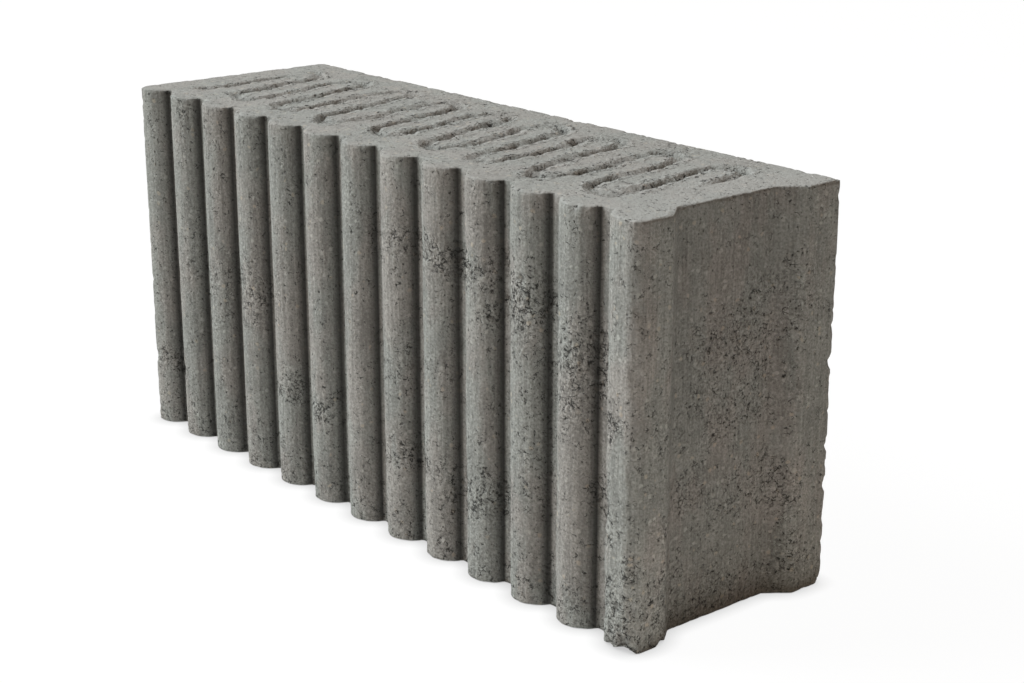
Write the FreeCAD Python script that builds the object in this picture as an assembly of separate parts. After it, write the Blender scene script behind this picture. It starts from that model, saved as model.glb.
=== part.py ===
import FreeCAD, Part
import math
import os

# A solid fluted walling block, cast in one piece from dense concrete.
# Units are millimetres.  +X runs along the block's length, +Y through its
# thickness from the fluted face to the flat back, and +Z is up.  The origin
# is the middle of the underside.  The +X end has the mortar recess.

# Overall format: a 390 x 120 x 188 partition block.
LENGTH = 390.0
THICKNESS = 120.0
HEIGHT = 188.0

# Fluted face: twelve grooves between rounded ribs, the same all the way up.
GROOVE_COUNT = 12
GROOVE_PITCH = 31.0
FIRST_GROOVE = 22.5          # -X end plane to the centre of the first groove
GROOVE_FLOOR = 6.2           # flat strip at the bottom of a groove
RIB_RADIUS = 13.1            # round crown of a rib
CORNER_RADIUS = 6.0          # the two upright arrises of the fluted face
BACK_CORNER_RADIUS = 2.0     # the two upright arrises of the flat back

# Mortar recess: a wide shallow channel up the +X end.
RECESS_DEPTH = 8.5
RECESS_FLOOR = 58.0          # width at the bottom of the channel
RECESS_MOUTH = 80.0          # width where it meets the end plane

# Bevels round the top and the underside, where the green concrete's arris wears.
TOP_BEVEL = 1.6
BOTTOM_BEVEL = 1.6

HALF_LENGTH = LENGTH / 2
HALF_THICKNESS = THICKNESS / 2
RIB_HALF_WIDTH = (GROOVE_PITCH - GROOVE_FLOOR) / 2
RIB_CENTRE_DEPTH = math.sqrt(RIB_RADIUS ** 2 - RIB_HALF_WIDTH ** 2)
GROOVE_DEPTH = RIB_RADIUS - RIB_CENTRE_DEPTH
CROWN_Y = -HALF_THICKNESS
FLOOR_Y = CROWN_Y + GROOVE_DEPTH


def point(x, y):
    """A point of the plan outline."""
    return FreeCAD.Vector(x, y, 0)


def line(start, end):
    """A straight edge of the plan outline."""
    return Part.LineSegment(point(*start), point(*end)).toShape()


def arc(start, middle, end):
    """A round edge of the plan outline through three points."""
    return Part.Arc(point(*start), point(*middle), point(*end)).toShape()


def groove_centre(index):
    """The X of a groove's centre, counted from the -X end."""
    return -HALF_LENGTH + FIRST_GROOVE + index * GROOVE_PITCH


def rib_point(centre_x, angle):
    """A point on the round crown of a rib, by angle from its highest line."""
    x = centre_x + RIB_RADIUS * math.sin(angle)
    y = CROWN_Y + RIB_RADIUS * (1 - math.cos(angle))
    return (x, y)


def corner_arc(corner_x, corner_y, toward_x, toward_y, radius):
    """Start, middle and end of a quarter round that replaces a square corner.

    toward_x and toward_y are +1 or -1 and point from the corner into the block.
    The start lies on the long face and the end on the block's end.
    """
    inset = radius * (1 - math.sqrt(0.5))
    start = (corner_x + toward_x * radius, corner_y)
    middle = (corner_x + toward_x * inset, corner_y + toward_y * inset)
    end = (corner_x, corner_y + toward_y * radius)
    return start, middle, end


def fluted_edges(first, last):
    """The fluted face from the point first, on the -X side, to the point last."""
    spread = math.asin(RIB_HALF_WIDTH / RIB_RADIUS)
    edges = []
    here = first
    for index in range(GROOVE_COUNT):
        left_rib = groove_centre(index) - GROOVE_PITCH / 2
        floor_start = (groove_centre(index) - GROOVE_FLOOR / 2, FLOOR_Y)
        floor_end = (groove_centre(index) + GROOVE_FLOOR / 2, FLOOR_Y)
        if index == 0:
            crown = rib_point(left_rib, 0)
            edges.append(line(here, crown))
            edges.append(arc(crown, rib_point(left_rib, spread / 2), floor_start))
        else:
            edges.append(arc(here, rib_point(left_rib, 0), floor_start))
        edges.append(line(floor_start, floor_end))
        here = floor_end
    last_rib = groove_centre(GROOVE_COUNT - 1) + GROOVE_PITCH / 2
    crown = rib_point(last_rib, 0)
    edges.append(arc(here, rib_point(last_rib, -spread / 2), crown))
    edges.append(line(crown, last))
    return edges


def recess_edges(first, last):
    """The +X end from the point first to the point last, with its channel."""
    floor_x = HALF_LENGTH - RECESS_DEPTH
    corners = [
        first,
        (HALF_LENGTH, -RECESS_MOUTH / 2),
        (floor_x, -RECESS_FLOOR / 2),
        (floor_x, RECESS_FLOOR / 2),
        (HALF_LENGTH, RECESS_MOUTH / 2),
        last,
    ]
    return [line(a, b) for a, b in zip(corners, corners[1:])]


def plan_face():
    """The block's horizontal section as a face."""
    left_front = corner_arc(-HALF_LENGTH, CROWN_Y, 1, 1, CORNER_RADIUS)
    right_front = corner_arc(HALF_LENGTH, CROWN_Y, -1, 1, CORNER_RADIUS)
    right_back = corner_arc(HALF_LENGTH, HALF_THICKNESS, -1, -1, BACK_CORNER_RADIUS)
    left_back = corner_arc(-HALF_LENGTH, HALF_THICKNESS, 1, -1, BACK_CORNER_RADIUS)
    edges = fluted_edges(left_front[0], right_front[0])
    edges.append(arc(*right_front))
    edges.extend(recess_edges(right_front[2], right_back[2]))
    edges.append(arc(*right_back))
    edges.append(line(right_back[0], left_back[0]))
    edges.append(arc(*left_back))
    edges.append(line(left_back[2], left_front[2]))
    edges.append(arc(*left_front))
    return Part.Face(Part.Wire(Part.sortEdges(edges)[0]))


def rim_edges(solid, height):
    """The edges of a solid that lie flat at one height."""
    tolerance = 1e-6
    rim = []
    for edge in solid.Edges:
        box = edge.BoundBox
        if abs(box.ZMin - height) < tolerance and abs(box.ZMax - height) < tolerance:
            rim.append(edge)
    return rim


def make_block():
    """The whole block: the section raised to full height, its rims softened."""
    block = plan_face().extrude(FreeCAD.Vector(0, 0, HEIGHT))
    block = block.makeChamfer(TOP_BEVEL, rim_edges(block, HEIGHT))
    return block.makeChamfer(BOTTOM_BEVEL, rim_edges(block, 0))


os.makedirs("parts", exist_ok=True)
make_block().exportStep("parts/block.step")
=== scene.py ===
import math

import bpy
import numpy as np
from mathutils import Euler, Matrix, Vector, kdtree, noise


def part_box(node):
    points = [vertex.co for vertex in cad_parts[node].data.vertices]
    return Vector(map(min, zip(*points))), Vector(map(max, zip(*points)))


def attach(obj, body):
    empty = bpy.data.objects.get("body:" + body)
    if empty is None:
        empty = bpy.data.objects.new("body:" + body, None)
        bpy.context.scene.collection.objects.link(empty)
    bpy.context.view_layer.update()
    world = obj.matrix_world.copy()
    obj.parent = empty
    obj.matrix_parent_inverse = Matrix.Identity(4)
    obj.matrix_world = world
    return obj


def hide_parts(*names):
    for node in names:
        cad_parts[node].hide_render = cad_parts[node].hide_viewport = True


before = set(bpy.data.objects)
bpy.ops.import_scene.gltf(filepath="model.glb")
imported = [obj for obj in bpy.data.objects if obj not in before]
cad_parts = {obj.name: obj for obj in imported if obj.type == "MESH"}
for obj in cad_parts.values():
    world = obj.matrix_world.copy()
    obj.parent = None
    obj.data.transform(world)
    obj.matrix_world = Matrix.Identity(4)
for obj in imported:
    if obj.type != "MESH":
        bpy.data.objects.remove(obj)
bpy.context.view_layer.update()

# The looks of a fluted concrete block: one dense mesh that stands for the CAD
# node "block".  Its worn arrises, chips, pits and pressed relief are in the
# mesh, and its grain, with painted shade in hollows and groove floors and
# painted highlights on lumps and the top, is in the material.  Everything is
# in metres, in the frame of the CAD.

MM = 0.001
LOW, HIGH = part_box("block")
HEIGHT = HIGH.z - LOW.z

# Fluted face, as the CAD has it.
GROOVE_COUNT = 12
GROOVE_PITCH = 31.0 * MM
FIRST_GROOVE = 22.5 * MM
GROOVE_FLOOR = 6.2 * MM
RIB_RADIUS = 13.1 * MM
RIB_HALF_WIDTH = (GROOVE_PITCH - GROOVE_FLOOR) / 2
CORNER_RADIUS = 6.0 * MM
BACK_CORNER_RADIUS = 2.0 * MM

# Mortar recess of the +X end, as the CAD has it.
RECESS_DEPTH = 8.5 * MM
RECESS_FLOOR = 58.0 * MM
RECESS_MOUTH = 80.0 * MM

# Cells of the mesh along the block, through it and up it.
CELLS_X, CELLS_Y, CELLS_Z = 392, 78, 116
RIM_RADIUS = 1.0 * MM
RIM_CELLS = 2
MOST_TRIANGLES = 196000

# Open-textured places on the fluted face and the recessed end, where the mix
# was too dry to close: millimetres along the fluted face from the plain end and
# on round the corner, height, and half sizes.
OPEN_PATCHES = [
    (268, 146, 50, 9),
    (316, 137, 26, 13),
    (352, 118, 18, 22),
    (100, 96, 11, 14),
    (131, 52, 12, 9),
    (162, 50, 13, 8),
    (240, 46, 26, 8),
    (290, 40, 34, 12),
    (20, 36, 20, 6),
    (384, 16, 18, 22),
    (372, 60, 9, 16),
    (372, 100, 8, 8),
    (404, 24, 14, 14),
    (421, 62, 11, 13),
    (450, 100, 30, 20),
    (452, 130, 34, 22),
    (482, 138, 13, 20),
    (466, 52, 30, 14),
    (490, 20, 16, 12),
    (440, 8, 50, 12),
]

# Broken-off bits of arris: a point near the break, and the radius of the bite.
CHIPS = [
    (LOW.x + 221 * MM, HIGH.y, HIGH.z, 4.0 * MM),
    (LOW.x + 226 * MM, HIGH.y, HIGH.z, 3.0 * MM),
    (LOW.x + 150 * MM, LOW.y + 5 * MM, LOW.z, 4.5 * MM),
    (LOW.x + 96 * MM, LOW.y, HIGH.z, 4.5 * MM),
    (LOW.x + 34 * MM, LOW.y, HIGH.z, 2.5 * MM),
    (LOW.x + 352 * MM, LOW.y, HIGH.z, 3.0 * MM),
    (HIGH.x - 5 * MM, LOW.y + 1 * MM, LOW.z, 7.0 * MM),
    (HIGH.x - 14 * MM, LOW.y, LOW.z, 5.0 * MM),
    (HIGH.x, -RECESS_MOUTH / 2, LOW.z, 4.0 * MM),
    (HIGH.x, HIGH.y, LOW.z, 4.0 * MM),
    (HIGH.x, HIGH.y, LOW.z + 48 * MM, 3.2 * MM),
    (HIGH.x, HIGH.y, LOW.z + 67 * MM, 3.2 * MM),
    (HIGH.x, HIGH.y, LOW.z + 106 * MM, 3.8 * MM),
    (LOW.x, HIGH.y, HIGH.z, 3.0 * MM),
]

# How open the surface is, from 0 to 1, in those places and just above the underside.
FRONT_PATCH_OPENNESS = 0.85
END_PATCH_OPENNESS = 0.55
FOOT_BAND_OPENNESS = 0.4
STROKE_OPENNESS = 0.9

# Depths of the relief that time and the mould leave.
WAVINESS_DEPTH = 0.22 * MM
PIT_DEPTH = 1.15 * MM
ARRIS_WEAR_DEPTH = 0.75 * MM
CHIP_FLOOR = 0.6             # flat floor of a chip, as a share of its radius
CHIP_DEPTH = 0.75            # how far a chip sinks, as a share of its bite
UNDERSIDE_EASE = 0.6         # how much less the underside is roughened

# Pressed relief of the top: one meandering groove across the block's width.
MEANDER_PASS = 20.0 * MM
MEANDER_HALF_RUN = 38.0 * MM
MEANDER_SLANT = -0.22
STROKE_HALF_WIDTH = 3.5 * MM
STROKE_DEPTH = 1.9 * MM
LIP_HEIGHT = 0.25 * MM
BAND_START = LOW.x + 24 * MM
BAND_END = HIGH.x - 32 * MM
BAND_MIDDLE_Y = 3.0 * MM

# Camera at the photograph's viewing angle: degrees, metres and a lens in millimetres.
CAMERA_AZIMUTH = 50.17
CAMERA_ELEVATION = 17.56
CAMERA_DISTANCE = 0.9645
CAMERA_AIM = Vector((22.3, 20.3, 81.0)) * MM
CAMERA_LENS = 68.43
CAMERA_CLIP_START = 0.05

# Light and floor.  The key lamp stands high at the front left, and a dim card
# flat on the floor lights the foot of the recessed end.
AMBIENT_COLOUR = (1.0, 0.755, 0.57, 1)
AMBIENT_STRENGTH = 0.232
KEY_POSITION = (-2.04, -1.80, 3.06)
KEY_SIZE = 1.9
KEY_POWER = 202.0
KEY_COLOUR = (0.93, 0.985, 1.0)
CARD_LENGTH, CARD_WIDTH = 0.12, 0.30
CARD_POSITION = (HIGH.x + 0.065, 0, 0.002)
CARD_POWER = 0.062
CARD_COLOUR = (1.0, 0.94, 0.86)
FLOOR_HALF_SIZE = 4.0
FLOOR_COLOUR = (0.82, 0.82, 0.81, 1)
FLOOR_WHITE_SHARE = 0.95     # the rest of what the camera sees is the lit floor
CONTACT_SHADE_REACH = 9 * MM
CONTACT_SHADE_DEPTH = 0.5
FLOOR_GLOW = 0.52            # brightness where the contact shade is deepest

# Greys of the concrete's parts, in linear light.
SKIN_DARK, SKIN_PALE, PALE_PATCH = 0.252, 0.300, 0.355
DRAG_PALE, DRAG_DARK = 0.38, 0.17
SPECK_DARK, SPECK_PALE = 0.14, 0.46
# Painted highlight on the raised lumps of the open places.
LUMP_HIGHLIGHT = 0.46
GRAIN_GREY, GRAIN_TAN = 0.44, 0.40
GRAIN_WARMTH = 0.1
# Pale wear, also laid as a painted highlight on the top.
WEAR_AND_HIGHLIGHT_COLOUR = (0.42, 0.425, 0.415, 1)
# Painted shade: darker greys laid in the hollows and pressed groove, and toward the groove floors
# and in the recess.
HOLLOW_SHADE_DARK, GROOVE_SHADE_DARK = 0.1, 0.05
# Painted shade in the sunk pits and in the gaps round the grains.
PIT_SHADE_DARK, GAP_SHADE_DARK = 0.04, 0.04
COOL_TINGE, WARM_TINGE = (0.975, 1.0, 0.985, 1), (1.025, 0.99, 0.97, 1)


# ---------------------------------------------------------------- plan outline


def arc_points(centre, radius, start_deg, end_deg, steps):
    """Points round an arc, in plan."""
    angles = np.radians(np.linspace(start_deg, end_deg, steps + 1))
    x = centre[0] + radius * np.cos(angles)
    y = centre[1] + radius * np.sin(angles)
    return list(zip(x, y))


def front_curve():
    """The fluted face, from the middle of one corner arc to the other."""
    corner_y = LOW.y + CORNER_RADIUS
    spread = math.degrees(math.asin(RIB_HALF_WIDTH / RIB_RADIUS))
    points = arc_points((LOW.x + CORNER_RADIUS, corner_y), CORNER_RADIUS, 225, 270, 12)
    for rib in range(GROOVE_COUNT + 1):
        x = LOW.x + FIRST_GROOVE + (rib - 0.5) * GROOVE_PITCH
        start = 270 if rib == 0 else 270 - spread
        end = 270 if rib == GROOVE_COUNT else 270 + spread
        points += arc_points((x, LOW.y + RIB_RADIUS), RIB_RADIUS, start, end, 40)
    points += arc_points((HIGH.x - CORNER_RADIUS, corner_y), CORNER_RADIUS, 270, 315, 12)
    return points


def recessed_end_curve():
    """The recessed +X end, from the front to the back."""
    front = (HIGH.x - CORNER_RADIUS, LOW.y + CORNER_RADIUS)
    back = (HIGH.x - BACK_CORNER_RADIUS, HIGH.y - BACK_CORNER_RADIUS)
    floor_x = HIGH.x - RECESS_DEPTH
    points = arc_points(front, CORNER_RADIUS, 315, 360, 12)
    points.append((HIGH.x, -RECESS_MOUTH / 2))
    points.append((floor_x, -RECESS_FLOOR / 2))
    points.append((floor_x, RECESS_FLOOR / 2))
    points.append((HIGH.x, RECESS_MOUTH / 2))
    points += arc_points(back, BACK_CORNER_RADIUS, 0, 45, 6)
    return points


def back_curve():
    """The flat back, from the recessed end to the plain one."""
    y = HIGH.y - BACK_CORNER_RADIUS
    points = arc_points((HIGH.x - BACK_CORNER_RADIUS, y), BACK_CORNER_RADIUS, 45, 90, 6)
    points += arc_points((LOW.x + BACK_CORNER_RADIUS, y), BACK_CORNER_RADIUS, 90, 135, 6)
    return points


def plain_end_curve():
    """The plain -X end, from the back to the front."""
    back = (LOW.x + BACK_CORNER_RADIUS, HIGH.y - BACK_CORNER_RADIUS)
    front = (LOW.x + CORNER_RADIUS, LOW.y + CORNER_RADIUS)
    points = arc_points(back, BACK_CORNER_RADIUS, 135, 180, 6)
    points += arc_points(front, CORNER_RADIUS, 180, 225, 12)
    return points


def resample(curve, cells):
    """The curve as evenly spaced points, without its last one."""
    curve = np.array(curve)
    steps = np.linalg.norm(np.diff(curve, axis=0), axis=1)
    along = np.concatenate([[0], np.cumsum(steps)])
    wanted = np.linspace(0, along[-1], cells + 1)[:-1]
    x = np.interp(wanted, along, curve[:, 0])
    y = np.interp(wanted, along, curve[:, 1])
    return np.stack([x, y], 1)


def outline_ring():
    """The whole outline, anticlockwise from the front's -X corner."""
    return np.concatenate([
        resample(front_curve(), CELLS_X),
        resample(recessed_end_curve(), CELLS_Y),
        resample(back_curve(), CELLS_X),
        resample(plain_end_curve(), CELLS_Y),
    ])


# --------------------------------------------------------------- mesh building


def ring_normals(ring):
    """Outward directions in plan at each point of the outline."""
    along = np.roll(ring, -1, 0) - np.roll(ring, 1, 0)
    along /= np.linalg.norm(along, axis=1, keepdims=True)
    return np.stack([along[:, 1], -along[:, 0]], 1)


def wall_rows():
    """Height and inset of each row of the wall, from the underside to the top."""
    rim = []
    for step in range(RIM_CELLS + 1):
        angle = math.radians(90 * step / RIM_CELLS)
        rim.append((RIM_RADIUS * (1 - math.sin(angle)), RIM_RADIUS * (1 - math.cos(angle))))
    middle = np.linspace(RIM_RADIUS, HEIGHT - RIM_RADIUS, CELLS_Z + 1)[1:-1]
    rows = [(height, edge) for edge, height in rim]
    rows += [(height, 0.0) for height in middle]
    rows += [(HEIGHT - height, edge) for edge, height in reversed(rim)]
    return rows


def cap_points(ring, z):
    """The inner points of a cap, spread evenly between the four sides of its ring."""
    front = ring[:CELLS_X + 1]
    right = ring[CELLS_X:CELLS_X + CELLS_Y + 1]
    back = ring[CELLS_X + CELLS_Y:2 * CELLS_X + CELLS_Y + 1][::-1]
    left = np.concatenate([ring[2 * CELLS_X + CELLS_Y:], ring[:1]])[::-1]
    u = np.linspace(0, 1, CELLS_X + 1)[:, None, None]
    v = np.linspace(0, 1, CELLS_Y + 1)[None, :, None]
    near = (1 - u) * front[0] + u * front[-1]
    far = (1 - u) * back[0] + u * back[-1]
    start = (1 - v) * front[0] + v * back[0]
    end = (1 - v) * front[-1] + v * back[-1]
    plan = (1 - v) * near + v * far
    plan = plan + (1 - v) ** 3 * (front[:, None] - near) + v * (back[:, None] - far)
    plan = plan + (1 - u) ** 20 * (left[None] - start) + u ** 20 * (right[None] - end)
    inner = plan[1:-1, 1:-1]
    heights = np.full(inner.shape[:2] + (1,), z)
    return np.concatenate([inner, heights], 2)


def cap_grid(ring_ids, inner_ids):
    """The point numbers of a cap, with its border taken from the wall."""
    grid = np.zeros((CELLS_X + 1, CELLS_Y + 1), int)
    grid[1:-1, 1:-1] = inner_ids
    grid[:, 0] = ring_ids[:CELLS_X + 1]
    grid[-1, :] = ring_ids[CELLS_X:CELLS_X + CELLS_Y + 1]
    grid[:, -1] = ring_ids[CELLS_X + CELLS_Y:2 * CELLS_X + CELLS_Y + 1][::-1]
    grid[0, 1:] = ring_ids[2 * CELLS_X + CELLS_Y:][::-1]
    return grid


def grid_faces(grid):
    """Four-cornered faces between neighbouring rows and columns of a grid."""
    a, b = grid[:-1, :-1], grid[1:, :-1]
    c, d = grid[1:, 1:], grid[:-1, 1:]
    return np.stack([a, b, c, d], -1).reshape(-1, 4)


def plain_block():
    """The block's true shape as points and four-cornered faces."""
    ring = outline_ring()
    outward = ring_normals(ring)
    rows = []
    for height, edge in wall_rows():
        plan = ring - outward * edge
        rows.append(np.column_stack([plan, np.full(len(ring), LOW.z + height)]))
    wall = np.array(rows)
    wall_ids = np.arange(wall.shape[0] * wall.shape[1]).reshape(wall.shape[:2])
    around = np.concatenate([wall_ids, wall_ids[:, :1]], 1)
    faces = [grid_faces(around.T)]
    points = [wall.reshape(-1, 3)]
    count = wall_ids.size
    for row, z, underside in ((0, LOW.z, True), (-1, HIGH.z, False)):
        inner = cap_points(wall[row, :, :2], z)
        ids = count + np.arange(inner.shape[0] * inner.shape[1]).reshape(inner.shape[:2])
        count += ids.size
        points.append(inner.reshape(-1, 3))
        cap = grid_faces(cap_grid(wall_ids[row], ids))
        faces.append(cap[:, ::-1] if underside else cap)
    return np.concatenate(points), np.concatenate(faces), wall


def make_mesh(name, points, faces):
    """A mesh object from arrays of points and faces."""
    mesh = bpy.data.meshes.new(name)
    mesh.from_pydata(points.tolist(), [], faces.tolist())
    mesh.update()
    piece = bpy.data.objects.new(name, mesh)
    bpy.context.scene.collection.objects.link(piece)
    return piece


# -------------------------------------------------------------- surface relief


def smooth(low, high, value):
    """0 below low, 1 above high, and a soft step between."""
    t = np.clip((value - low) / (high - low), 0, 1)
    return t * t * (3 - 2 * t)


def field(points, size, octaves, seed):
    """Soft noise of about -1 to 1, with features of the given size."""
    shift = Vector((seed * 7.3, seed * 3.1, seed * 5.7))
    values = [noise.fractal(Vector(p) / size + shift, 1.0, 2.0, octaves) for p in points]
    return np.array(values)


def hollows(points, size, seed):
    """0 to 1 down into scattered round pits, about one to a cell of that size."""
    shift = Vector((seed * 4.1, seed * 8.7, seed * 2.9))
    depths = []
    for p in points:
        distances, centres = noise.voronoi(Vector(p) / size + shift)
        width = 0.2 + 0.3 * abs(noise.noise(centres[0] * 3.7))
        depths.append(max(0.0, 1 - (distances[0] / width) ** 2))
    return np.array(depths)


def faces_up(normals):
    """True on the top."""
    return normals[:, 2] > 0.5


def open_texture(points, normals):
    """0 to 1: how open the surface is at each point."""
    on_end = (normals[:, 0] > 0.5) & (points[:, 0] > HIGH.x - 12 * MM)
    x = (points[:, 0] - LOW.x + on_end * (points[:, 1] - LOW.y)) / MM
    z = (points[:, 2] - LOW.z) / MM
    ragged = field(points, 14 * MM, 3, 11)
    amount = 0.28 * smooth(0.1, 0.7, field(points, 45 * MM, 2, 12))
    wall = np.abs(normals[:, 2]) < 0.5
    facing = wall & ((normals[:, 1] < 0.3) | on_end)
    for centre_x, centre_z, half_x, half_z in OPEN_PATCHES:
        reach = np.hypot((x - centre_x) / half_x, (z - centre_z) / half_z) + 0.8 * ragged
        fullness = np.where(on_end, END_PATCH_OPENNESS, FRONT_PATCH_OPENNESS) * facing
        amount = np.maximum(amount, fullness * (1 - smooth(0.35, 1.5, reach)))
    foot_band = wall * (1 - smooth(4, 34, z + 14 * ragged)) * FOOT_BAND_OPENNESS
    return np.clip(np.maximum(amount, foot_band), 0, 1)


def meander_distance(x, y):
    """Distance in plan from the middle of the pressed meander groove."""
    period = 2 * MEANDER_PASS
    radius = MEANDER_PASS / 2
    straight = MEANDER_HALF_RUN - radius
    across = y - BAND_MIDDLE_Y
    along = np.mod(x - BAND_START - MEANDER_SLANT * across, period)
    beyond = np.maximum(np.abs(across) - straight, 0)
    passes = np.minimum.reduce([along, np.abs(along - MEANDER_PASS), period - along])
    nearest_pass = np.hypot(passes, beyond)
    upper = np.hypot(along - radius, across - straight)
    lower = np.hypot(along - radius - MEANDER_PASS, across + straight)
    upper_bend = np.where(across > straight, np.abs(upper - radius), 1.0)
    lower_bend = np.where(across < -straight, np.abs(lower - radius), 1.0)
    inside = np.where(beyond > 0, 1.0, nearest_pass)
    return np.minimum.reduce([inside, upper_bend, lower_bend])


def pressed_relief(points, normals):
    """Depth of the pressed meander and height of its lips, both 0 to 1."""
    x, y = points[:, 0], points[:, 1]
    wander = field(points, 24 * MM, 2, 21) * 4.5 * MM
    sway = field(points, 30 * MM, 2, 24) * 4.5 * MM
    distance = meander_distance(x + wander, y + sway) + 1.4 * MM * field(points, 4 * MM, 3, 22)
    starts = smooth(BAND_START - 4 * MM, BAND_START, x)
    ends = smooth(BAND_END, BAND_END + 4 * MM, x)
    band = starts * (1 - ends)
    top = faces_up(normals)
    groove = 1 - smooth(0.3 * STROKE_HALF_WIDTH, STROKE_HALF_WIDTH, distance)
    lip = np.exp(-((distance - 1.5 * STROKE_HALF_WIDTH) / (0.45 * STROKE_HALF_WIDTH)) ** 2)
    uneven = 0.45 + 0.55 * smooth(-0.35, 0.25, field(points, 16 * MM, 2, 23))
    return groove * band * top * uneven, lip * band * top


def chip_depth(points):
    """How far each point sinks into the bites of the chips, which have flat floors."""
    sink = np.zeros(len(points))
    ragged = 1 + 0.35 * field(points, 4 * MM, 2, 31)
    for x, y, z, radius in CHIPS:
        distance = np.linalg.norm(points - np.array([x, y, z]), axis=1)
        bite = np.clip(radius * ragged - distance, 0, CHIP_FLOOR * radius)
        sink = np.maximum(sink, bite)
    return sink


def arris_distance(points, wall):
    """Distance of each point from the nearest arris of the block."""
    rims = np.concatenate([wall[RIM_CELLS // 2], wall[-1 - RIM_CELLS // 2]])
    tree = kdtree.KDTree(len(rims))
    for number, point in enumerate(rims):
        tree.insert(point, number)
    tree.balance()
    distance = np.array([tree.find(p)[2] for p in points])
    for x, y, radius in (
        (LOW.x, LOW.y, CORNER_RADIUS),
        (HIGH.x, LOW.y, CORNER_RADIUS),
        (LOW.x, HIGH.y, BACK_CORNER_RADIUS),
        (HIGH.x, HIGH.y, BACK_CORNER_RADIUS),
    ):
        upright = np.hypot(points[:, 0] - x, points[:, 1] - y) - 0.45 * radius
        distance = np.minimum(distance, np.abs(upright))
    return distance


def painted_groove_shade(points, normals):
    """0 to 1 toward the floors of the grooves, and a little in the recess, where shade is painted
    darker.
    """
    depth = points[:, 1] - LOW.y
    in_groove = (normals[:, 1] < -0.2) & (np.abs(normals[:, 2]) < 0.6) & (depth < 10 * MM)
    on_flank = smooth(0.3, 0.75, np.abs(normals[:, 0]))
    in_recess = (normals[:, 0] > 0.5) * smooth(1 * MM, 4 * MM, HIGH.x - points[:, 0])
    return in_groove * on_flank * smooth(3.6 * MM, 8.2 * MM, depth) + 0.2 * in_recess


def arris_wear(points, near_arris):
    """How worn the surface is: most at the arrises, in crumbs and longer runs."""
    crumbs = smooth(0.0, 0.8, field(points, 4.5 * MM, 3, 45))
    runs = smooth(0.1, 0.9, field(points, 14 * MM, 2, 47))
    return np.exp(-near_arris / (1.7 * MM)) * (0.1 + (crumbs + runs))


def near_top(points):
    """True in the upper 15 millimetres of the block."""
    return points[:, 2] > HIGH.z - 15 * MM


def wear_and_top_highlight(points, normals, near_arris, groove, broken):
    """How pale the surface is: rubbed arrises and breaks near the top, which are wear, and the
    top, with a painted highlight that grows toward the recessed end.
    """
    # Painted highlight: the top is painted paler toward the recessed end.
    near_end = smooth(HIGH.x - 90 * MM, HIGH.x, points[:, 0])
    top_with_highlight = faces_up(normals) * (0.7 + 0.6 * near_end) * (1 - groove)
    rubbed_runs = smooth(-0.1, 0.7, field(points, 16 * MM, 2, 46))
    rubbed = np.exp(-near_arris / (2.2 * MM)) * rubbed_runs
    fresh = broken * near_top(points)
    return np.maximum(rubbed, np.maximum(top_with_highlight, fresh))


def carve(points, normals, wall):
    """Sinks each point along its normal; returns the new points and the shader's masks."""
    near_arris = arris_distance(points, wall)
    groove, lip = pressed_relief(points, normals)
    stroke = STROKE_OPENNESS * np.maximum(groove, 0.8 * lip)
    open_mask = np.maximum(open_texture(points, normals), stroke)
    chips = chip_depth(points)
    broken = smooth(0, 1.5 * MM, chips)
    pits = hollows(points, 6.5 * MM, 41) + hollows(points, 3.8 * MM, 42)
    few_pits = np.where(faces_up(normals), 0.0, 0.1)
    pit_mask = np.clip(pits * (few_pits + 0.95 * open_mask), 0, 1)
    lumps = 0.5 + 0.6 * field(points, 3.2 * MM, 2, 43)
    lump_depth = (0.08 + 0.9 * open_mask + 0.5 * groove) * MM
    waviness = 0.5 + 0.5 * field(points, 60 * MM, 2, 44)
    lip_room = np.where(faces_up(normals), LIP_HEIGHT, 0.0)
    sink = (
        WAVINESS_DEPTH * waviness
        + lump_depth * lumps
        + PIT_DEPTH * pit_mask
        + ARRIS_WEAR_DEPTH * arris_wear(points, near_arris)
        + STROKE_DEPTH * groove
        + lip_room * (1 - lip)
    )
    underside = smooth(0.0, 0.6, np.abs(normals[:, 2])) * (normals[:, 2] < 0)
    level = np.maximum(np.hypot(normals[:, 0], normals[:, 1]), np.abs(normals[:, 2]))
    sink = sink * (1 - UNDERSIDE_EASE * underside) + CHIP_DEPTH * chips / level
    moved = points - normals * np.clip(sink, 0, None)[:, None]
    masks = {
        "open": open_mask,
        # painted shade in the pits, the pressed groove and the chips below the top
        "hollow_shade": np.clip(pit_mask + 0.8 * groove + 0.3 * broken * (1 - near_top(points)), 0, 1),
        # pale wear at arrises and breaks, and a painted highlight on the top
        "wear_and_highlight": wear_and_top_highlight(points, normals, near_arris, groove, broken),
        # painted shade toward the groove floors and in the recess
        "groove_shade": painted_groove_shade(points, normals),
    }
    return moved, masks, near_arris


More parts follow.
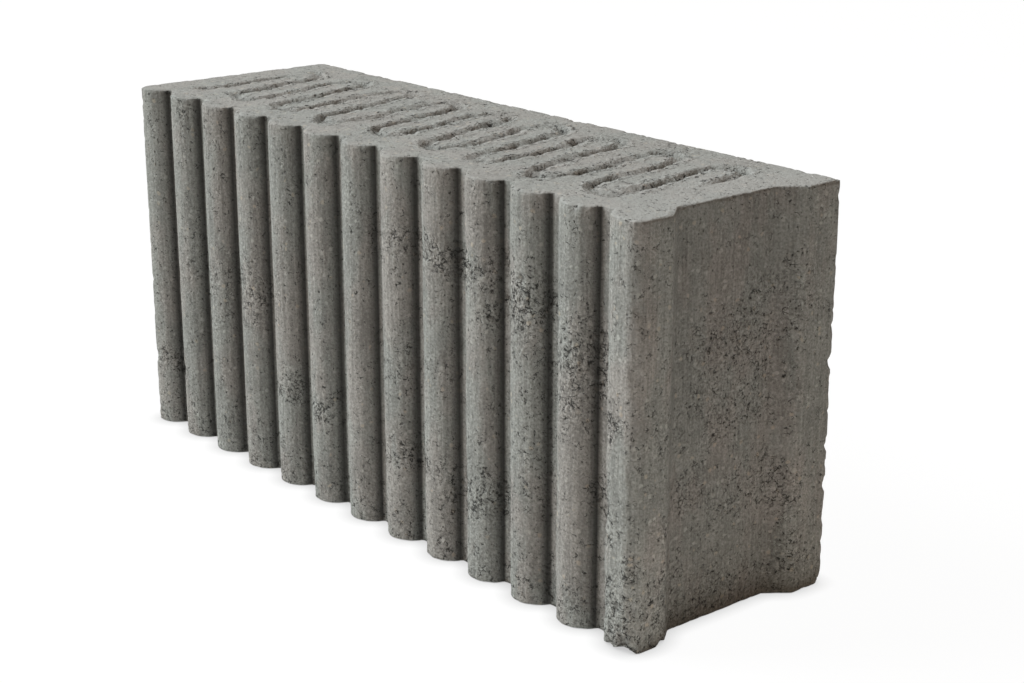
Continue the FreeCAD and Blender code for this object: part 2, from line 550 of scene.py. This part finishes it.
def thin_out(piece, normals, near_arris):
    """Joins small faces of the back, the plain end and the underside only."""
    plain = (normals[:, 1] > 0.7) | (normals[:, 0] < -0.7) | (normals[:, 2] < -0.7)
    hidden = plain & (near_arris > 5 * MM)
    group = piece.vertex_groups.new(name="plain_sides")
    group.add(np.flatnonzero(hidden).tolist(), 1.0, "REPLACE")
    triangles = 2 * len(piece.data.polygons)
    thinner = piece.modifiers.new("thin_out", "DECIMATE")
    thinner.ratio = MOST_TRIANGLES / triangles
    thinner.vertex_group = group.name
    thinner.vertex_group_factor = 1000.0
    depsgraph = bpy.context.evaluated_depsgraph_get()
    mesh = bpy.data.meshes.new_from_object(piece.evaluated_get(depsgraph))
    piece.modifiers.clear()
    piece.vertex_groups.clear()
    piece.data = mesh
    points = np.zeros(len(mesh.vertices) * 3, np.float32)
    mesh.vertices.foreach_get("co", points)
    points = np.clip(points.reshape(-1, 3), tuple(LOW), tuple(HIGH))
    mesh.vertices.foreach_set("co", points.ravel())
    mesh.update()


def make_block():
    """The whole block as one piece."""
    points, faces, wall = plain_block()
    piece = make_mesh("concrete_block", points, faces)
    normals = np.zeros(len(points) * 3, np.float32)
    piece.data.vertex_normals.foreach_get("vector", normals)
    normals = normals.reshape(-1, 3).astype(float)
    moved, masks, near_arris = carve(points, normals, wall)
    piece.data.vertices.foreach_set("co", moved.astype(np.float32).ravel())
    for name, values in masks.items():
        attribute = piece.data.attributes.new(name, "FLOAT", "POINT")
        attribute.data.foreach_set("value", values.astype(np.float32))
    piece.data.update()
    thin_out(piece, normals, near_arris)
    piece.data.shade_smooth()
    piece.data.materials.append(concrete_material())
    return piece


# -------------------------------------------------------------------- material


class Graph:
    """Short calls that add linked shader nodes."""

    def __init__(self, tree):
        self.tree = tree

    def node(self, kind, **inputs):
        made = self.tree.nodes.new(kind)
        for name, value in inputs.items():
            self.feed(made, name.replace("_", " "), value)
        return made

    def feed(self, made, name, value):
        if isinstance(value, bpy.types.NodeSocket):
            self.tree.links.new(value, made.inputs[name])
        else:
            made.inputs[name].default_value = value

    def math(self, operation, a, b=0.0, c=0.0):
        made = self.tree.nodes.new("ShaderNodeMath")
        made.operation = operation
        for number, value in enumerate((a, b, c)):
            self.feed(made, number, value)
        return made.outputs[0]

    def ramp(self, value, low, high, start=0.0, end=1.0):
        """start below low, end above high, with a soft step between."""
        made = self.tree.nodes.new("ShaderNodeMapRange")
        made.interpolation_type = "SMOOTHSTEP"
        limits = {"From Min": low, "From Max": high, "To Min": start, "To Max": end}
        for name, number in limits.items():
            made.inputs[name].default_value = number
        self.feed(made, "Value", value)
        return made.outputs["Result"]

    def blend(self, amount, first, second, kind="MIX"):
        made = self.tree.nodes.new("ShaderNodeMix")
        made.data_type = "RGBA"
        made.blend_type = kind
        made.clamp_factor = True
        self.feed(made, 0, amount)
        self.feed(made, 6, first)
        self.feed(made, 7, second)
        return made.outputs[2]

    def lay(self, colour, over, mask, strength=1.0):
        """The colour with another laid over it, as strongly as the mask says."""
        return self.blend(self.math("MULTIPLY", mask, strength), colour, over)

    def stretched(self, scale):
        """Object coordinates multiplied by a scale for each axis."""
        coordinates = self.tree.nodes.new("ShaderNodeTexCoord").outputs["Object"]
        made = self.tree.nodes.new("ShaderNodeMapping")
        self.feed(made, "Vector", coordinates)
        made.inputs["Scale"].default_value = scale
        return made.outputs["Vector"]

    def noise(self, size, detail=2.0, roughness=0.5, stretch=(1, 1, 1)):
        """Noise of 0 to 1 with features of the given size in metres."""
        vector = self.stretched([1 / (size * s) for s in stretch])
        made = self.node("ShaderNodeTexNoise", Vector=vector, Scale=1.0, Detail=detail)
        made.inputs["Roughness"].default_value = roughness
        return made.outputs["Fac"]

    def cells(self, size, feature="F1", bend=0.7):
        """A Voronoi texture with bent cells of the given size in metres."""
        plain = self.stretched([1 / size] * 3)
        wander = self.node("ShaderNodeTexNoise", Vector=plain, Scale=1.4, Detail=2.0)
        vector = self.tree.nodes.new("ShaderNodeVectorMath")
        vector.operation = "MULTIPLY_ADD"
        self.feed(vector, 0, wander.outputs["Color"])
        vector.inputs[1].default_value = (bend, bend, bend)
        self.feed(vector, 2, plain)
        made = self.tree.nodes.new("ShaderNodeTexVoronoi")
        made.feature = feature
        self.feed(made, "Vector", vector.outputs["Vector"])
        made.inputs["Scale"].default_value = 1.0
        return made

    def attribute(self, name):
        made = self.tree.nodes.new("ShaderNodeAttribute")
        made.attribute_name = name
        return made.outputs["Fac"]


def gap_mask(graph, open_mask):
    """1 in the gaps round the sand grains, where the skin of cement hasn't closed; they sink in
    the relief and are painted dark as shade.
    """
    edge = graph.cells(2.3 * MM, "DISTANCE_TO_EDGE", 1.0).outputs["Distance"]
    width = graph.math("MULTIPLY_ADD", open_mask, 0.06, 0.06)
    line = graph.ramp(graph.math("DIVIDE", edge, width), 0.35, 1.0, 1.0, 0.0)
    place = graph.math("MULTIPLY_ADD", open_mask, 0.085, graph.noise(3.6 * MM, 3, 0.7))
    return graph.math("MULTIPLY", line, graph.ramp(place, 0.565, 0.645))


def grain_mask(graph, size, share):
    """1 on the stone grains that show, a small share of all cells, and their own tint."""
    cell = graph.cells(size)
    parts = graph.node("ShaderNodeSeparateColor", Color=cell.outputs["Color"])
    chosen = graph.ramp(parts.outputs[1], 1 - share - 0.01, 1 - share)
    inside = graph.ramp(cell.outputs["Distance"], 0.25, 0.5, 1.0, 0.0)
    return graph.math("MULTIPLY", chosen, inside), parts.outputs[2]


def grey(value, warmth=0.0):
    """A grey, a little warm if asked."""
    return (value * (1 + warmth), value, value * (0.96 - warmth), 1)


def concrete_parts(graph):
    """The masks and noises that the colour and the relief share."""
    open_mask = graph.attribute("open")
    lumps = graph.noise(2.3 * MM, 3, 0.6)
    sunk = graph.math("MULTIPLY_ADD", open_mask, -0.075, lumps)
    return {
        "open": open_mask,
        "lumps": lumps,
        "pits": graph.ramp(sunk, 0.29, 0.335, 1.0, 0.0),
        "gaps": gap_mask(graph, open_mask),
        "speckle": graph.noise(1.1 * MM, 2, 0.6),
        "drag": graph.noise(1.4 * MM, 2, 0.6, (1, 1, 22)),
    }


def cement_skin(graph, parts):
    """Colour of the cement skin: mottled, with drag marks and specks of sand."""
    mottle = graph.ramp(graph.noise(38 * MM, 2), 0.35, 0.65)
    patches = graph.ramp(graph.noise(9 * MM, 3, 0.6), 0.4, 0.65)
    coarse = graph.math("MULTIPLY_ADD", parts["open"], 0.5, 0.42)
    drag, speckle = parts["drag"], parts["speckle"]
    colour = graph.blend(mottle, grey(SKIN_DARK), grey(SKIN_PALE))
    colour = graph.lay(colour, grey(PALE_PATCH), patches, 0.5)
    colour = graph.lay(colour, grey(DRAG_PALE), graph.ramp(drag, 0.5, 0.66), 0.42)
    colour = graph.lay(colour, grey(DRAG_DARK), graph.ramp(drag, 0.36, 0.5, 1.0, 0.0), 0.33)
    colour = graph.lay(colour, grey(SPECK_DARK), graph.ramp(speckle, 0.36, 0.5, 1.0, 0.0), coarse)
    return graph.lay(colour, grey(SPECK_PALE), graph.ramp(speckle, 0.55, 0.68), coarse)


def add_grains(graph, parts, colour):
    """The skin with a painted highlight on raised lumps, stone grains that show, and a faint
    tinge in places.
    """
    # Painted highlight: the raised lumps of open places are painted paler.
    lump_highlight = graph.ramp(parts["lumps"], 0.5, 0.66)
    lump_highlight = graph.math("MULTIPLY", lump_highlight, parts["open"])
    colour = graph.lay(colour, grey(LUMP_HIGHLIGHT), lump_highlight, 0.7)
    grains, tint = grain_mask(graph, 2.7 * MM, 0.15)
    tan = graph.ramp(tint, 0.6, 0.7)
    grain_colour = graph.blend(tan, grey(GRAIN_GREY), grey(GRAIN_TAN, GRAIN_WARMTH))
    colour = graph.lay(colour, grain_colour, grains, 0.75)
    tinge = graph.ramp(graph.noise(26 * MM, 3, 0.6, (1, 1, 2.5)), 0.42, 0.58)
    tinge = graph.blend(tinge, COOL_TINGE, WARM_TINGE)
    return graph.blend(1.0, colour, tinge, "MULTIPLY")


def add_wear_and_painted_light(graph, parts, colour):
    """The colour with pale wear, a painted highlight on the top, and painted shade in hollows,
    pits, gaps and toward the groove floors.
    """
    # Pale wear at arrises and breaks, and a painted highlight on the top.
    colour = graph.lay(colour, WEAR_AND_HIGHLIGHT_COLOUR, graph.attribute("wear_and_highlight"), 0.5)
    # Painted shade in the pits, the pressed groove and the chips below the top.
    colour = graph.lay(colour, grey(HOLLOW_SHADE_DARK), graph.attribute("hollow_shade"), 0.5)
    # Painted shade: darker toward the groove floors and in the recess.
    colour = graph.lay(colour, grey(GROOVE_SHADE_DARK), graph.attribute("groove_shade"), 0.8)
    # Painted shade in the pits and gaps, which also sink in the relief.
    colour = graph.lay(colour, grey(PIT_SHADE_DARK), parts["pits"], 0.85)
    return graph.lay(colour, grey(GAP_SHADE_DARK), parts["gaps"], 0.85)


def fine_relief(graph, parts):
    """Normal of the relief that is too fine for the mesh."""
    crumbs = graph.math("MULTIPLY_ADD", parts["open"], 1.2 * MM, 0.7 * MM)
    height = graph.math("MULTIPLY", parts["speckle"], 0.4 * MM)
    height = graph.math("MULTIPLY_ADD", parts["drag"], 0.25 * MM, height)
    height = graph.math("MULTIPLY_ADD", parts["lumps"], crumbs, height)
    height = graph.math("MULTIPLY_ADD", parts["pits"], -0.5 * MM, height)
    height = graph.math("MULTIPLY_ADD", parts["gaps"], -0.5 * MM, height)
    bump = graph.node("ShaderNodeBump", Strength=1.0, Distance=1.0, Height=height)
    return bump.outputs["Normal"]


def concrete_material():
    """Dark grey fine concrete."""
    material = bpy.data.materials.new("grey_concrete")
    material.use_nodes = True
    tree = material.node_tree
    shader = tree.nodes["Principled BSDF"]
    shader.inputs["Roughness"].default_value = 0.9
    shader.inputs["Specular IOR Level"].default_value = 0.08
    graph = Graph(tree)
    parts = concrete_parts(graph)
    colour = cement_skin(graph, parts)
    colour = add_grains(graph, parts, colour)
    graph.feed(shader, "Base Color", add_wear_and_painted_light(graph, parts, colour))
    graph.feed(shader, "Normal", fine_relief(graph, parts))
    return material


# ----------------------------------------------------------------------- stage


def seen_rays(tree):
    """1 on the rays that show the white background: camera, glossy and transmission."""
    path = tree.nodes.new("ShaderNodeLightPath")
    seen = path.outputs["Is Camera Ray"]
    for name in ("Is Glossy Ray", "Is Transmission Ray"):
        either = tree.nodes.new("ShaderNodeMath")
        either.operation = "MAXIMUM"
        tree.links.new(seen, either.inputs[0])
        tree.links.new(path.outputs[name], either.inputs[1])
        seen = either.outputs[0]
    return seen


def floor_material():
    """Pale floor that looks white but keeps a faint shadow."""
    material = bpy.data.materials.new("pale_floor")
    material.use_nodes = True
    tree = material.node_tree
    shader = tree.nodes["Principled BSDF"]
    shader.inputs["Base Color"].default_value = FLOOR_COLOUR
    shader.inputs["Roughness"].default_value = 0.9
    near = tree.nodes.new("ShaderNodeAmbientOcclusion")
    near.inputs["Distance"].default_value = CONTACT_SHADE_REACH
    dimmed = tree.nodes.new("ShaderNodeMath")
    dimmed.operation = "MULTIPLY_ADD"
    dimmed.inputs[1].default_value = CONTACT_SHADE_DEPTH
    dimmed.inputs[2].default_value = FLOOR_GLOW
    tree.links.new(near.outputs["AO"], dimmed.inputs[0])
    glow = tree.nodes.new("ShaderNodeEmission")
    tree.links.new(dimmed.outputs[0], glow.inputs["Strength"])
    share = tree.nodes.new("ShaderNodeMath")
    share.operation = "MULTIPLY"
    share.inputs[1].default_value = FLOOR_WHITE_SHARE
    tree.links.new(seen_rays(tree), share.inputs[0])
    mix = tree.nodes.new("ShaderNodeMixShader")
    tree.links.new(share.outputs[0], mix.inputs[0])
    tree.links.new(shader.outputs[0], mix.inputs[1])
    tree.links.new(glow.outputs[0], mix.inputs[2])
    tree.links.new(mix.outputs[0], tree.nodes["Material Output"].inputs["Surface"])
    return material


def make_floor():
    """The plain floor that the block stands on."""
    half = FLOOR_HALF_SIZE
    corners = np.array([(-half, -half, 0), (half, -half, 0), (half, half, 0), (-half, half, 0)])
    floor = make_mesh("floor", corners, np.array([[0, 1, 2, 3]]))
    floor.data.materials.append(floor_material())


def make_world():
    """Even soft light from all round, which looks white past the floor."""
    world = bpy.data.worlds.new("studio")
    bpy.context.scene.world = world
    world.use_nodes = True
    tree = world.node_tree
    soft = tree.nodes["Background"]
    soft.inputs["Color"].default_value = AMBIENT_COLOUR
    soft.inputs["Strength"].default_value = AMBIENT_STRENGTH
    white = tree.nodes.new("ShaderNodeBackground")
    mix = tree.nodes.new("ShaderNodeMixShader")
    tree.links.new(seen_rays(tree), mix.inputs[0])
    tree.links.new(soft.outputs[0], mix.inputs[1])
    tree.links.new(white.outputs[0], mix.inputs[2])
    white.inputs["Color"].default_value = (1, 1, 1, 1)
    tree.links.new(mix.outputs[0], tree.nodes["World Output"].inputs["Surface"])


def make_key_light():
    """A large soft lamp that faces the block."""
    lamp = bpy.data.lights.new("key_light", "AREA")
    lamp.size = KEY_SIZE
    lamp.energy = KEY_POWER
    lamp.color = KEY_COLOUR
    holder = bpy.data.objects.new("key_light", lamp)
    holder.location = KEY_POSITION
    toward = Vector((0, 0, HEIGHT / 2)) - Vector(KEY_POSITION)
    holder.rotation_euler = toward.to_track_quat("-Z", "Y").to_euler()
    bpy.context.scene.collection.objects.link(holder)


def make_bounce_card():
    """A dim pale card flat on the floor, which lights the foot of the recessed end."""
    card = bpy.data.lights.new("bounce_card", "AREA")
    card.shape = "RECTANGLE"
    card.size, card.size_y = CARD_LENGTH, CARD_WIDTH
    card.energy = CARD_POWER
    card.color = CARD_COLOUR
    holder = bpy.data.objects.new("bounce_card", card)
    holder.location = CARD_POSITION
    holder.rotation_euler = (math.pi, 0, 0)
    holder.visible_camera = False
    bpy.context.scene.collection.objects.link(holder)


def make_camera():
    """The camera at the photograph's viewing angle."""
    azimuth = math.radians(CAMERA_AZIMUTH)
    elevation = math.radians(CAMERA_ELEVATION)
    back = Vector((
        math.sin(azimuth) * math.cos(elevation),
        -math.cos(azimuth) * math.cos(elevation),
        math.sin(elevation),
    ))
    data = bpy.data.cameras.new("camera")
    data.lens = CAMERA_LENS
    data.clip_start = CAMERA_CLIP_START
    camera = bpy.data.objects.new("camera", data)
    camera.location = CAMERA_AIM + back * CAMERA_DISTANCE
    camera.rotation_euler = Euler((math.pi / 2 - elevation, 0, azimuth))
    bpy.context.scene.collection.objects.link(camera)
    bpy.context.scene.camera = camera


make_camera()
make_world()
make_floor()
make_key_light()
make_bounce_card()

block = make_block()
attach(block, "root")
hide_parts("block")

bpy.context.scene.view_settings.view_transform = "Standard"
